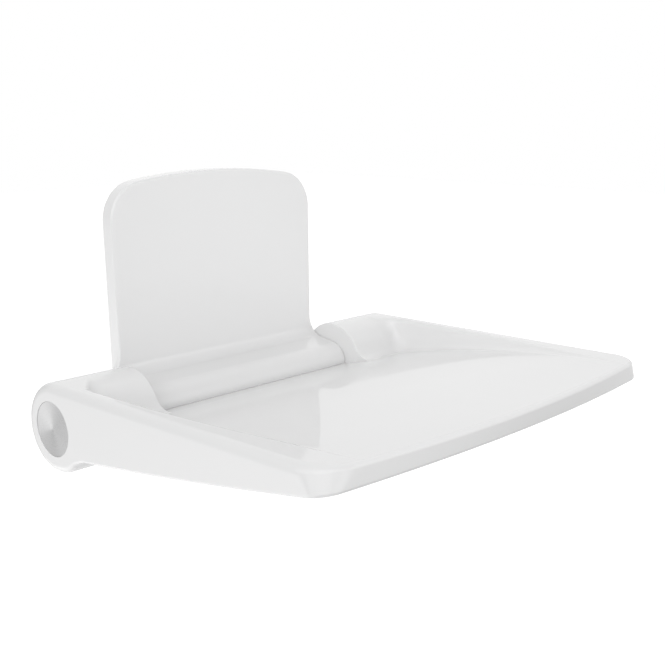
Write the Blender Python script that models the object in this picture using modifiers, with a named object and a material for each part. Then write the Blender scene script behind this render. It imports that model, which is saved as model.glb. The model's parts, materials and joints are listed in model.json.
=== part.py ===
"""Wall-mounted fold-up shower seat, in metres, +Z up.

The wall is the plane y = 0 and the room lies towards -Y. The origin is on the wall at the height of the
hinge axis, in the middle of the width. The seat's own pieces are modelled round the hinge axis and hang on
an empty that stands there. Rest is the seat folded down.
"""

import math

import bmesh
import bpy
from mathutils import Matrix, Vector

# Overall form of the seat
SEAT_WIDTH = 0.324
SEAT_REACH = 0.2613
FRONT_BOW = 0.017
FRONT_CORNER_RADIUS = 0.028
BARREL_RADIUS = 0.030
HINGE_TO_WALL = 0.0315
FRONT_EDGE_HEIGHT = 0.013
SKIRT_START = 0.042
SKIRT_START_DEPTH = 0.0145
UNDERSIDE_BULGE = 0.0015
UNDER_FILLET_RADIUS = 0.022
SIDE_EDGE_RADIUS = 0.0055
FRONT_EDGE_RADIUS = 0.003
BOTTOM_EDGE_RADIUS = 0.002
UNDER_SOFTENING_SHARE = 0.7

# Dish
DISH_RIM_WIDTH = 0.016
DISH_WALL_DRAFT = math.radians(12)
DISH_SIDE_FILLET = 0.009
DISH_REAR_FILLET = 0.016
DISH_REAR_DEPTH = 0.0308
DISH_RUN_OUT = 0.009
BARREL_BLEND_ANGLE = math.radians(75)

# Seat walls, ribs and base
SHELL_WALL = 0.0035
SKIRT_WALL = 0.004
RIB_THICKNESS = 0.0022
RIB_COLUMNS = 10
RIB_ROWS = 3
HOLLOW_START = 0.048
BASE_THICKNESS = 0.0035
BASE_SET_BACK = 0.0005
BASE_LEDGE = 0.0015
BASE_REAR_LEDGE = 0.001
BASE_SCREW_TO_SIDE = 0.054
BASE_SCREW_TO_HOLLOW_START = 0.022
BASE_SCREW_TO_FRONT = 0.0373
BASE_SCREW_PITCH = 0.074
BASE_SCREW_LENGTH = 0.010
BASE_SCREW_RADIUS = 0.0019
BASE_SCREW_HEAD_RADIUS = 0.0035
BASE_SCREW_HEAD_HEIGHT = 0.0013
BASE_SCREW_SINK = 0.0009
BOSS_WALL = 0.0026

# Knuckle on the wall and the trough that the seat turns round it
BARREL_LENGTH = 0.0634
KNUCKLE_RADIUS = 0.0155
KNUCKLE_SHELF_SLOPE = math.radians(10)
KNUCKLE_END_RADIUS = 0.0035
KNUCKLE_SIDE_GAP = 0.0005
TROUGH_GAP = 0.0007
HEEL_TO_AXIS = 0.017

# Wall cover
PLATE_TO_KNUCKLE_END = 0.0042
PLATE_THICKNESS = 0.0113
PLATE_TOP = 0.159
PLATE_ARCH_RADIUS = 0.480
PLATE_CORNER_RADIUS = 0.028
PLATE_BOTTOM = 0.033
PLATE_BOTTOM_CORNER_RADIUS = 0.008
PLATE_EDGE_RADIUS = 0.0025
COVER_WALL = 0.003
COVE_RADIUS = 0.009
SEAL_THICKNESS = 0.0012
SEAL_INSET = 0.0008

# Wall bracket
BRACKET_THICKNESS = 0.004
BRACKET_EDGE_GAP = 0.003
TUBE_RADIUS = 0.012
WEB_HALF_HEIGHT = 0.008
WALL_HOLE_RADIUS = 0.00425
WALL_HOLE_X = 0.060
WALL_HOLE_HEIGHTS = (0.048, 0.125)
LUG_START_X = 0.025
LUG_TO_PLATE_SIDE = 0.0189
STOP_PAD_HEIGHT = 0.0100
COVER_SCREW_LENGTH = 0.011
COVER_SCREW_TO_WALL = 0.0049
COVER_SCREW_RADIUS = 0.0016
COVER_SCREW_HEAD_RADIUS = 0.0030
COVER_SCREW_HEAD_HEIGHT = 0.0013
STOP_PAD_DROP = 0.0013
STOP_PAD_EDGE_RADIUS = 0.0008
WEB_END_GAP = 0.002
GRUB_SCREW_X = 0.040
GRUB_SCREW_RADIUS = 0.003
GRUB_SCREW_LENGTH = 0.012
GRUB_SCREW_POINT = 0.001
GRUB_SOCKET_DEPTH = 0.003

# Axle and what turns on it
AXLE_RADIUS = 0.008
AXLE_THREAD_RADIUS = 0.006
BUSH_WALL = 0.0017
BUSH_LENGTH = 0.0155
BUSH_FLANGE_WIDTH = 0.003
BUSH_FLANGE_THICKNESS = 0.0018
THRUST_WASHER_THICKNESS = 0.0014
SPRING_WASHER_THICKNESS = 0.0006
SPRING_WASHER_RISE = 0.0007
AXLE_WASHER_THICKNESS = 0.002
AXLE_WASHER_RADIUS = 0.015
NUT_THICKNESS = 0.006
NUT_ACROSS_FLATS = 0.018
AXLE_END_PROUD = 0.0012
CAP_RADIUS = 0.0185
CAP_THICKNESS = 0.002
CAP_SET_BACK = 0.0004
CAP_EDGE_CHAMFER = 0.0004
CAP_SKIRT_RADIUS = 0.0157
CAP_SKIRT_WALL = 0.0012
CAP_SKIRT_LENGTH = 0.0076
POCKET_DEPTH = 0.019

# Screws: socket and point as shares of the screw's own size
SOCKET_RADIUS_SHARE = 0.5
SOCKET_DEPTH_SHARE = 0.6
SCREW_TIP_SHARE = 0.9
GRUB_TIP_SHARE = 0.7

# Clearances
FIT_GAP = 0.0003
CAP_GAP = 0.0002
THRUST_WASHER_PROUD = 0.0002
SCREW_TIP_ROOM = 0.001
SLOT_UNDER_BORE = 0.0006

# Smoothness of round shapes
ROUND_STEPS = 40
HIDDEN_STEPS = 24
SCREW_STEPS = 10
RING_SECTION_STEPS = 6
FILLET_STEPS = 6
EDGE_STEPS = 3

WHITE = ("gloss_white_plastic", (0.86, 0.86, 0.86), 0.12, 0.0)
TURNED_STEEL = ("turned_steel", (0.62, 0.62, 0.62), 0.28, 1.0)
PLAIN_STEEL = ("stainless_steel", (0.55, 0.55, 0.56), 0.35, 1.0)
ALUMINIUM = ("aluminium", (0.70, 0.71, 0.72), 0.40, 1.0)
NYLON = ("natural_nylon", (0.80, 0.78, 0.72), 0.50, 0.0)
RUBBER = ("black_rubber", (0.03, 0.03, 0.03), 0.80, 0.0)
WHITE_RUBBER = ("white_rubber", (0.80, 0.80, 0.80), 0.60, 0.0)

SIDES = (("left", -1), ("right", 1))

# How far cutting shapes run past what they cut: a little, past one wall, past the whole seat
OVERRUN = 0.004
BIG = 0.060
THROUGH = SEAT_WIDTH
LIFT = 0.0001

seat_half = SEAT_WIDTH / 2
rim_height = BARREL_RADIUS
trough_radius = KNUCKLE_RADIUS + TROUGH_GAP
dish_half = seat_half - DISH_RIM_WIDTH
notch_half = seat_half - BARREL_LENGTH
knuckle_half = notch_half - KNUCKLE_SIDE_GAP
plate_half = knuckle_half - PLATE_TO_KNUCKLE_END
axis_y = -HINGE_TO_WALL
plate_front = -PLATE_THICKNESS
cover_back = -(SEAL_THICKNESS + FIT_GAP)
lug_front = plate_front + COVER_WALL + FIT_GAP
bore_radius = AXLE_RADIUS + FIT_GAP
bush_outer = bore_radius + BUSH_WALL
pocket_radius = CAP_RADIUS + CAP_GAP
base_rear = BASE_REAR_LEDGE - HOLLOW_START


def clear_scene():
    for old in list(bpy.data.objects):
        bpy.data.objects.remove(old, do_unlink=True)


def new_collection(name):
    made = bpy.data.collections.new(name)
    bpy.context.scene.collection.children.link(made)
    return made


def finish_of(look):
    name, colour, roughness, metallic = look
    found = bpy.data.materials.get(name)
    if found:
        return found
    made = bpy.data.materials.new(name)
    made.use_nodes = True
    shader = made.node_tree.nodes["Principled BSDF"]
    shader.inputs["Base Color"].default_value = (*colour, 1)
    shader.inputs["Roughness"].default_value = roughness
    shader.inputs["Metallic"].default_value = metallic
    made.diffuse_color = (*colour, 1)
    return made


def tidy_mesh(mesh, merge=1e-6):
    """Welds what coincides, joins coplanar faces and turns all faces outwards."""
    work = bmesh.new()
    work.from_mesh(mesh)
    bmesh.ops.remove_doubles(work, verts=work.verts, dist=merge)
    bmesh.ops.dissolve_limit(work, angle_limit=1e-4, verts=work.verts, edges=work.edges)
    bmesh.ops.recalc_face_normals(work, faces=work.faces)
    work.to_mesh(mesh)
    work.free()


def settled(obj):
    """Replaces an object's mesh, or curve, by what its modifiers make of it."""
    bpy.context.view_layer.update()
    seen = obj.evaluated_get(bpy.context.evaluated_depsgraph_get())
    mesh = bpy.data.meshes.new_from_object(seen)
    tidy_mesh(mesh)
    made = bpy.data.objects.new(obj.name, mesh)
    made.matrix_world = obj.matrix_world
    for holder in obj.users_collection:
        holder.objects.link(made)
    name = obj.name
    bpy.data.objects.remove(obj, do_unlink=True)
    made.name = name
    return made


def shown(obj, look, parent=None):
    """Puts a finished piece among the parts, with its finish."""
    for holder in list(obj.users_collection):
        holder.objects.unlink(obj)
    parts.objects.link(obj)
    obj.data.materials.clear()
    obj.data.materials.append(finish_of(look))
    obj.data.shade_smooth()
    obj.data.set_sharp_from_angle(angle=math.radians(30))
    obj.parent = parent
    return obj


def prism(name, outline, start, end, across="X"):
    """A solid between two planes. The outline is (y, z) across X, (x, z) across Y and (x, y) across Z."""
    curve = bpy.data.curves.new(name, "CURVE")
    curve.dimensions = "2D"
    curve.fill_mode = "BOTH"
    curve.extrude = (end - start) / 2
    spline = curve.splines.new("POLY")
    spline.points.add(len(outline) - 1)
    for point, (u, v) in zip(spline.points, outline):
        point.co = (u, v, 0, 1)
    spline.use_cyclic_u = True
    flat = bpy.data.objects.new(name, curve)
    cutters.objects.link(flat)
    solid = settled(flat)
    turn = {
        "X": Matrix(((0, 0, 1, 0), (1, 0, 0, 0), (0, 1, 0, 0), (0, 0, 0, 1))),
        "Y": Matrix(((1, 0, 0, 0), (0, 0, 1, 0), (0, 1, 0, 0), (0, 0, 0, 1))),
        "Z": Matrix.Identity(4),
    }[across]
    solid.data.transform(turn @ Matrix.Translation((0, 0, (start + end) / 2)))
    tidy_mesh(solid.data)
    return solid


def block(name, low, high):
    size = Vector(high) - Vector(low)
    middle = (Vector(high) + Vector(low)) / 2
    mesh = bpy.data.meshes.new(name)
    work = bmesh.new()
    bmesh.ops.create_cube(work, size=1, matrix=Matrix.Translation(middle) @ Matrix.Diagonal((*size, 1)))
    work.to_mesh(mesh)
    work.free()
    made = bpy.data.objects.new(name, mesh)
    cutters.objects.link(made)
    return made


def turned(name, profile, steps=ROUND_STEPS, along="X"):
    """Revolves (distance along the axis, radius) points. Without a point on the axis the profile closes up."""
    mesh = bpy.data.meshes.new(name)
    work = bmesh.new()
    rings = [work.verts.new((place, 0, radius)) for place, radius in profile]
    for first, second in zip(rings, rings[1:]):
        work.edges.new((first, second))
    if profile[0][1] > 0:
        work.edges.new((rings[-1], rings[0]))
    work.to_mesh(mesh)
    work.free()
    made = bpy.data.objects.new(name, mesh)
    cutters.objects.link(made)
    screw = made.modifiers.new("turn", "SCREW")
    screw.axis = "X"
    screw.angle = math.tau
    screw.steps = screw.render_steps = steps
    screw.use_merge_vertices = True
    screw.merge_threshold = 1e-6
    made = settled(made)
    if along != "X":
        swing = {"Y": Matrix.Rotation(math.pi / 2, 4, "Z"), "Z": Matrix.Rotation(-math.pi / 2, 4, "Y")}
        made.data.transform(swing[along])
    return made


def through_tool(name, radius, along="X"):
    """A round cutter that goes through everything."""
    profile = [(-THROUGH, 0), (-THROUGH, radius), (THROUGH, radius), (THROUGH, 0)]
    return turned(name, profile, HIDDEN_STEPS, along)


def moved(obj, x=0.0, y=0.0, z=0.0):
    obj.data.transform(Matrix.Translation((x, y, z)))
    return obj


def boolean(obj, other, operation):
    change = obj.modifiers.new(other.name, "BOOLEAN")
    change.object = other
    change.operation = operation
    change.solver = "MANIFOLD"
    other.hide_render = True
    other.display_type = "WIRE"
    return obj


def cut(obj, *tools):
    for tool in tools:
        boolean(obj, tool, "DIFFERENCE")
    return obj


def merged(obj, operation, *others):
    """Joins, or intersects, for good: the other solids are used up."""
    for other in others:
        boolean(obj, other, operation)
    obj = settled(obj)
    for other in others:
        bpy.data.objects.remove(other, do_unlink=True)
    return obj


def joined(name, pieces):
    """One object from solids that don't touch."""
    work = bmesh.new()
    for piece in pieces:
        work.from_mesh(piece.data)
        bpy.data.objects.remove(piece, do_unlink=True)
    mesh = bpy.data.meshes.new(name)
    work.to_mesh(mesh)
    work.free()
    made = bpy.data.objects.new(name, mesh)
    cutters.objects.link(made)
    return made


def arc(centre, radius, start, end, steps):
    """Points on a circle from one angle to another, both included. Angles run from +first axis."""
    return [
        (
            centre[0] + radius * math.cos(start + (end - start) * i / steps),
            centre[1] + radius * math.sin(start + (end - start) * i / steps),
        )
        for i in range(steps + 1)
    ]


def angle_of(point, centre):
    return math.atan2(point[1] - centre[1], point[0] - centre[0])


def crossing(centre_a, radius_a, centre_b, radius_b, side):
    """Where two circles cross, to the left (side 1) or right (side -1) of the line from a to b."""
    a, b = Vector(centre_a), Vector(centre_b)
    gap = (b - a).length
    along = (radius_a**2 - radius_b**2 + gap**2) / (2 * gap)
    up = math.sqrt(radius_a**2 - along**2)
    forward = (b - a) / gap
    return tuple(a + forward * along + Vector((-forward.y, forward.x)) * up * side)


def dish_centre():
    """Centre and radius, in (y, z), of the crowned arc that the dish floor follows. It runs level at the front."""
    run = SEAT_REACH + DISH_RUN_OUT - trough_radius
    radius = (run**2 + DISH_REAR_DEPTH**2) / (2 * DISH_REAR_DEPTH)
    return (-(SEAT_REACH + DISH_RUN_OUT), rim_height - radius), radius


def dish_height(y):
    (centre_y, centre_z), radius = dish_centre()
    return centre_z + math.sqrt(radius**2 - (y - centre_y) ** 2)


def underside_arc():
    """Centre and radius, in (y, z), of the arc along the skirt's lower edge."""
    rear = Vector((-SKIRT_START, -SKIRT_START_DEPTH))
    front = Vector((-SEAT_REACH, rim_height - FRONT_EDGE_HEIGHT))
    chord = front - rear
    half = chord.length / 2
    radius = (half**2 + UNDERSIDE_BULGE**2) / (2 * UNDERSIDE_BULGE)
    up = Vector((chord.y, -chord.x)).normalized()
    return tuple((rear + front) / 2 + up * (radius - UNDERSIDE_BULGE)), radius


def underside_height(y, lift=0.0):
    (centre_y, centre_z), radius = underside_arc()
    return centre_z - math.sqrt((radius - lift) ** 2 - (y - centre_y) ** 2)


def stations(start, end, steps):
    return [start + (end - start) * i / steps for i in range(steps + 1)]


def plan_outline(inset=0.0):
    """The seat from above, (x, y), with its bowed front and round front corners."""
    half = seat_half - inset
    reach = SEAT_REACH - inset
    radius = FRONT_CORNER_RADIUS - inset
    slope = 0.0
    for _ in range(20):
        touch_x = half - radius + radius * math.sin(slope)
        slope = math.atan(2 * FRONT_BOW * touch_x / seat_half**2)
    touch_y = -reach + FRONT_BOW * (touch_x / seat_half) ** 2
    centre = (half - radius, touch_y + radius * math.cos(slope))
    corner = arc(centre, radius, 0, slope - math.pi / 2, FILLET_STEPS + 2)
    bow = [
        (x, -reach + FRONT_BOW * (x / seat_half) ** 2) for x in stations(touch_x, -touch_x, 20)[1:-1]
    ]
    other = [(-x, y) for x, y in reversed(corner)]
    return [(half, BIG)] + corner + bow + other + [(-half, BIG)]


def side_outline():
    """The seat from the side, (y, z): level rim, underside, fillet and the hinge barrel.

    The underside runs straight ahead of the plan's corners, so that no facet of it ends just beside one of theirs.
    """
    under_centre, under_radius = underside_arc()
    fillet_centre = crossing(
        (0, 0), BARREL_RADIUS + UNDER_FILLET_RADIUS,
        under_centre, under_radius + UNDER_FILLET_RADIUS, 1,
    )
    on_barrel = angle_of(fillet_centre, (0, 0))
    on_under = angle_of(under_centre, fillet_centre)
    start_y = fillet_centre[0] + UNDER_FILLET_RADIUS * math.cos(on_under)
    front = -(SEAT_REACH + BIG / 2)
    corner_y = plan_outline()[1][1]
    drop = (underside_height(-SEAT_REACH) - underside_height(corner_y)) / (-SEAT_REACH - corner_y)
    under = [(front, underside_height(corner_y) + (front - corner_y) * drop)]
    under += [(y, underside_height(y)) for y in stations(corner_y, start_y, 8)]
    fillet = arc(fillet_centre, UNDER_FILLET_RADIUS, on_under, on_barrel + math.pi, FILLET_STEPS)
    barrel = arc((0, 0), BARREL_RADIUS, on_barrel, math.pi / 2, ROUND_STEPS * 5 // 8)
    return [(front, rim_height)] + under + fillet[1:] + barrel[1:]


def soften_blank(blank):
    """Rounds the blank's outer edges: wide on barrel ends and rims, fine along the front and below."""
    mesh = blank.data
    work = bmesh.new()
    work.from_mesh(mesh)
    weights = work.edges.layers.float.new("bevel_weight_edge")
    widest = SIDE_EDGE_RADIUS
    corner_start = -(SEAT_REACH - FRONT_CORNER_RADIUS - FRONT_BOW)
    under_start = BARREL_RADIUS * UNDER_SOFTENING_SHARE
    for edge in work.edges:
        if edge.calc_face_angle(0) < math.radians(30):
            continue
        middle = (edge.verts[0].co + edge.verts[1].co) / 2
        radius = SIDE_EDGE_RADIUS
        if middle.z > rim_height - 1e-4:
            share = (corner_start - middle.y) / FRONT_CORNER_RADIUS
            radius += (FRONT_EDGE_RADIUS - SIDE_EDGE_RADIUS) * min(1, max(0, share))
        elif middle.y < -under_start:
            share = (-middle.y - under_start) / (SKIRT_START - under_start)
            radius += (BOTTOM_EDGE_RADIUS - SIDE_EDGE_RADIUS) * min(1, share)
        edge[weights] = radius / widest
    work.to_mesh(mesh)
    work.free()
    soft = blank.modifiers.new("soft edges", "BEVEL")
    soft.limit_method = "WEIGHT"
    soft.width = widest
    soft.segments = EDGE_STEPS
    soft.use_clamp_overlap = True
    return settled(blank)


def dish_cutter():
    """The dish: a cross-section with filleted corners, carried along the floor's arc and up the barrels."""
    (floor_y, floor_z), floor_radius = dish_centre()
    fillet_centre = crossing(
        (0, 0), BARREL_RADIUS + DISH_REAR_FILLET,
        (floor_y, floor_z), floor_radius + DISH_REAR_FILLET, -1,
    )
    on_barrel = angle_of(fillet_centre, (0, 0))
    on_floor = angle_of((floor_y, floor_z), fillet_centre)
    end_y = fillet_centre[0] + DISH_REAR_FILLET * math.cos(on_floor)
    front = floor_y - DISH_RUN_OUT
    path = [(y, dish_height(y)) for y in stations(front, end_y, 14)]
    rear = arc(fillet_centre, DISH_REAR_FILLET, on_floor, on_barrel - math.pi, FILLET_STEPS)
    path += rear[1:]
    leave = math.pi - BARREL_BLEND_ANGLE
    path += arc((0, 0), BARREL_RADIUS, on_barrel, leave, FILLET_STEPS)[1:]
    off = Vector((math.sin(leave), -math.cos(leave))) * BIG
    path.append((path[-1][0] + off.x, path[-1][1] + off.y))

    lean = math.pi / 2 - DISH_WALL_DRAFT
    foot = dish_half - DISH_SIDE_FILLET * math.tan(lean / 2)
    corner = arc((foot, DISH_SIDE_FILLET), DISH_SIDE_FILLET, -math.pi / 2, lean - math.pi / 2, FILLET_STEPS)
    top = (corner[-1][0] + math.tan(DISH_WALL_DRAFT) * BIG, corner[-1][1] + BIG)
    right = corner + [top]
    section = [(-x, z) for x, z in reversed(right)] + right

    mesh = bpy.data.meshes.new("dish_tool")
    work = bmesh.new()
    rows = [[work.verts.new((x, y, base + z)) for x, z in section] for y, base in path]
    for row, after in zip(rows, rows[1:]):
        for i in range(len(section) - 1):
            work.faces.new((row[i], row[i + 1], after[i + 1], after[i]))
    loose = [edge for edge in work.edges if edge.is_boundary]
    lifted = bmesh.ops.extrude_edge_only(work, edges=loose)["geom"]
    lid = [item for item in lifted if isinstance(item, bmesh.types.BMVert)]
    for vert in lid:
        vert.co.z = 3 * BIG
    bmesh.ops.contextual_create(work, geom=[e for e in work.edges if e.is_boundary])
    bmesh.ops.recalc_face_normals(work, faces=work.faces)
    work.to_mesh(mesh)
    work.free()
    made = bpy.data.objects.new("dish_tool", mesh)
    cutters.objects.link(made)
    return made


def notch_cutter():
    """Room for the knuckle: the trough round it, and all that is above and behind the heel."""
    lip = -math.asin((DISH_REAR_DEPTH - rim_height) / trough_radius)
    trough = arc((0, 0), trough_radius, math.pi - lip, math.pi * 1.5, ROUND_STEPS // 4)
    ahead = -(BARREL_RADIUS + DISH_REAR_FILLET + OVERRUN)
    outline = [(ahead, dish_height(ahead) + LIFT)] + trough
    outline += [(HEEL_TO_AXIS, -trough_radius), (HEEL_TO_AXIS, -BIG), (BIG, -BIG), (BIG, BIG), (ahead, BIG)]
    return prism("notch_tool", outline, -notch_half, notch_half)


def base_screw_places():
    x = seat_half - BASE_SCREW_TO_SIDE
    last = SEAT_REACH - BASE_SCREW_TO_FRONT
    rows = (HOLLOW_START + BASE_SCREW_TO_HOLLOW_START, last - BASE_SCREW_PITCH, last)
    return [(side * x, -row) for row in rows for _, side in SIDES]


def hollow_cutter():
    """Cells between the ribs, open below, kept clear of skirt, front and screw bosses."""
    inset = SKIRT_WALL + BASE_LEDGE
    half = seat_half - inset
    pitch = 2 * half / RIB_COLUMNS
    row_edges = stations(-HOLLOW_START, inset - SEAT_REACH, RIB_ROWS)
    cells = []
    for column in range(RIB_COLUMNS):
        low = -half + column * pitch + (RIB_THICKNESS / 2 if column else -inset)
        high = -half + (column + 1) * pitch - (RIB_THICKNESS / 2 if column < RIB_COLUMNS - 1 else -inset)
        for row in range(RIB_ROWS):
            back = row_edges[row] - (RIB_THICKNESS / 2 if row else 0)
            ahead = row_edges[row + 1] + (RIB_THICKNESS / 2 if row < RIB_ROWS - 1 else -inset)
            roof = [(y, dish_height(y) - SHELL_WALL) for y in stations(back, ahead, 2)]
            cells.append(prism("cell", [(back, -BIG)] + roof + [(ahead, -BIG)], low, high))
    tool = joined("hollow_tool", cells)
    tool = merged(tool, "INTERSECT", prism("inner_plan", plan_outline(inset), -2 * BIG, 2 * BIG, "Z"))
    bosses = [
        moved(turned("boss", [(-BIG, 0), (-BIG, boss_radius()), (BIG, boss_radius()), (BIG, 0)], SCREW_STEPS, "Z"), x, y)
        for x, y in base_screw_places()
    ]
    return merged(tool, "DIFFERENCE", joined("bosses", bosses))


def boss_radius():
    return BASE_SCREW_RADIUS + FIT_GAP + BOSS_WALL


def band(name, low, high, rear, inset):
    """A layer along the underside, from one height above it to another, inside the plan."""
    front = -(SEAT_REACH + OVERRUN)
    ys = stations(rear, front, 10)
    lower = [(y, underside_height(y, low)) for y in ys] if low > 0 else [(rear, -BIG), (front, -BIG)]
    upper = [(y, underside_height(y, high)) for y in reversed(ys)]
    solid = prism(name, lower + upper, -seat_half, seat_half)
    return merged(solid, "INTERSECT", prism("plan_tool", plan_outline(inset), -2 * BIG, 2 * BIG, "Z"))


def screw_hole_cutter(name, head_radius, head_top, shank_radius, length):
    """Stepped holes for the base screws, each from its own place on the underside."""
    holes = []
    for x, y in base_screw_places():
        foot = underside_height(y) + BASE_SCREW_SINK
        profile = [(-OVERRUN, 0), (-OVERRUN, head_radius), (head_top, head_radius)]
        profile += [(head_top, shank_radius), (length, shank_radius), (length, 0)]
        holes.append(moved(turned("hole", profile, SCREW_STEPS, "Z"), x, y, foot))
    return joined(name, holes)


def barrel_cutter(side):
    """The bush bore, the inner flange's seat and the pocket behind the cap."""
    bore = bush_outer + FIT_GAP
    flange = bush_outer + BUSH_FLANGE_WIDTH + FIT_GAP
    seat = notch_half + BUSH_FLANGE_THICKNESS + FIT_GAP
    floor = seat_half - POCKET_DEPTH
    profile = [
        (notch_half - OVERRUN, 0), (notch_half - OVERRUN, flange), (seat, flange), (seat, bore),
        (floor, bore), (floor, pocket_radius), (seat_half + OVERRUN, pocket_radius), (seat_half + OVERRUN, 0),
    ]
    return turned("barrel_tool", [(side * place, radius) for place, radius in profile])


def make_seat_shell():
    blank = prism("seat_shell", side_outline(), -(seat_half + OVERRUN), seat_half + OVERRUN)
    blank = merged(blank, "INTERSECT", prism("plan_tool", plan_outline(), -2 * BIG, 2 * BIG, "Z"))
    shell = soften_blank(blank)
    recess_top = BASE_SET_BACK + BASE_THICKNESS + FIT_GAP
    recess = band("base_recess_tool", 0, recess_top, base_rear, SKIRT_WALL)
    screw_top = BASE_SCREW_LENGTH + BASE_SCREW_HEAD_HEIGHT + SCREW_TIP_ROOM
    holes = screw_hole_cutter("boss_hole_tool", BASE_SCREW_RADIUS, 0, BASE_SCREW_RADIUS + FIT_GAP, screw_top)
    tools = [dish_cutter(), notch_cutter(), hollow_cutter(), recess, holes]
    tools += [barrel_cutter(side) for _, side in SIDES]
    cut(shell, *tools)
    for tool in tools:
        tool.parent = seat_pivot
    return shown(shell, WHITE, seat_pivot)


def make_seat_base():
    top = BASE_SET_BACK + BASE_THICKNESS
    base = band("seat_base", BASE_SET_BACK, top, base_rear - FIT_GAP, SKIRT_WALL + FIT_GAP)
    head_seat = BASE_SCREW_HEAD_HEIGHT + FIT_GAP
    holes = screw_hole_cutter(
        "base_hole_tool", BASE_SCREW_HEAD_RADIUS + FIT_GAP, head_seat, BASE_SCREW_RADIUS + FIT_GAP, top + OVERRUN
    )
    holes.parent = seat_pivot
    cut(base, holes)
    return shown(base, WHITE, seat_pivot)


def screw_solid(name, radius, length, head_radius, head_height):
    """A flat-headed screw with a socket, head down, standing on its head's face."""
    socket = head_radius * SOCKET_RADIUS_SHARE
    floor = head_height * SOCKET_DEPTH_SHARE
    tip = head_height + length
    profile = [
        (floor, 0), (floor, socket), (0, socket), (0, head_radius),
        (head_height, head_radius), (head_height, radius), (tip, radius * SCREW_TIP_SHARE), (tip, 0),
    ]
    return turned(name, profile, SCREW_STEPS, "Z")


def make_base_screws():
    for number, (x, y) in enumerate(base_screw_places(), 1):
        screw = screw_solid(
            f"base_screw_{number}", BASE_SCREW_RADIUS, BASE_SCREW_LENGTH,
            BASE_SCREW_HEAD_RADIUS, BASE_SCREW_HEAD_HEIGHT,
        )
        moved(screw, x, y, underside_height(y) + BASE_SCREW_SINK)
        shown(screw, PLAIN_STEEL, seat_pivot)


def ring(name, start, end, inner, outer, side):
    places = [(start, inner), (start, outer), (end, outer), (end, inner)]
    return turned(name, [(side * place, radius) for place, radius in places], HIDDEN_STEPS)


def make_bushes():
    inner_start = notch_half
    floor = seat_half - POCKET_DEPTH
    flange = bush_outer + BUSH_FLANGE_WIDTH
    for word, side in SIDES:
        flange_end = inner_start + BUSH_FLANGE_THICKNESS
        inner = [
            (inner_start, bore_radius), (inner_start, flange), (flange_end, flange),
            (flange_end, bush_outer), (inner_start + BUSH_LENGTH, bush_outer),
            (inner_start + BUSH_LENGTH, bore_radius),
        ]
        outer_start = floor + FIT_GAP
        outer_end = outer_start + BUSH_FLANGE_THICKNESS
        outer = [
            (outer_start - BUSH_LENGTH, bore_radius), (outer_start - BUSH_LENGTH, bush_outer),
            (outer_start, bush_outer), (outer_start, flange), (outer_end, flange), (outer_end, bore_radius),
        ]
        for place, profile in (("inner", inner), ("outer", outer)):
            spun = [(side * at, radius) for at, radius in profile]
            made = turned(f"hinge_bush_{place}_{word}", spun, HIDDEN_STEPS)
            shown(made, NYLON, seat_pivot)


def axle_shoulder():
    """Where the axle steps down, past the outer bush and the spring washer."""
    flange_end = seat_half - POCKET_DEPTH + FIT_GAP + BUSH_FLANGE_THICKNESS
    return flange_end + FIT_GAP + SPRING_WASHER_THICKNESS + SPRING_WASHER_RISE + FIT_GAP


def axle_end():
    return axle_shoulder() + 2 * FIT_GAP + AXLE_WASHER_THICKNESS + NUT_THICKNESS + AXLE_END_PROUD


def make_axle():
    shoulder = axle_shoulder()
    end = axle_end()
    half = [(shoulder, AXLE_RADIUS), (shoulder, AXLE_THREAD_RADIUS), (end, AXLE_THREAD_RADIUS), (end, 0)]
    profile = [(-place, radius) for place, radius in reversed(half)] + half
    axle = turned("hinge_axle", profile, HIDDEN_STEPS)
    shown(moved(axle, 0, axis_y, 0), PLAIN_STEEL)


def make_axle_hardware():
    tube_end = knuckle_half + THRUST_WASHER_PROUD - THRUST_WASHER_THICKNESS - FIT_GAP
    shoulder = axle_shoulder()
    for word, side in SIDES:
        thrust = ring(
            f"thrust_washer_{word}", tube_end + FIT_GAP, tube_end + FIT_GAP + THRUST_WASHER_THICKNESS,
            bore_radius, TUBE_RADIUS, side,
        )
        rest = shoulder - FIT_GAP - SPRING_WASHER_THICKNESS
        outer = bush_outer + BUSH_FLANGE_WIDTH
        dished = [
            (rest, bore_radius), (rest + SPRING_WASHER_THICKNESS, bore_radius),
            (rest + SPRING_WASHER_THICKNESS - SPRING_WASHER_RISE, outer), (rest - SPRING_WASHER_RISE, outer),
        ]
        spring = turned(f"spring_washer_{word}", [(side * at, radius) for at, radius in dished], HIDDEN_STEPS)
        washer_start = shoulder + FIT_GAP
        washer = ring(
            f"axle_washer_{word}", washer_start, washer_start + AXLE_WASHER_THICKNESS,
            AXLE_THREAD_RADIUS + FIT_GAP, AXLE_WASHER_RADIUS, side,
        )
        nut_start = washer_start + AXLE_WASHER_THICKNESS + FIT_GAP
        corner = NUT_ACROSS_FLATS / math.sqrt(3)
        hexagon = arc((0, 0), corner, 0, math.tau, 6)[:-1]
        ends = sorted((side * nut_start, side * (nut_start + NUT_THICKNESS)))
        nut = prism(f"axle_nut_{word}", hexagon, *ends)
        thread = AXLE_THREAD_RADIUS + FIT_GAP
        nut = merged(nut, "DIFFERENCE", through_tool("nut_bore_tool", thread))
        for piece, look in ((thrust, NYLON), (spring, PLAIN_STEEL), (washer, PLAIN_STEEL), (nut, PLAIN_STEEL)):
            shown(moved(piece, 0, axis_y, 0), look)
    return tube_end


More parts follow.
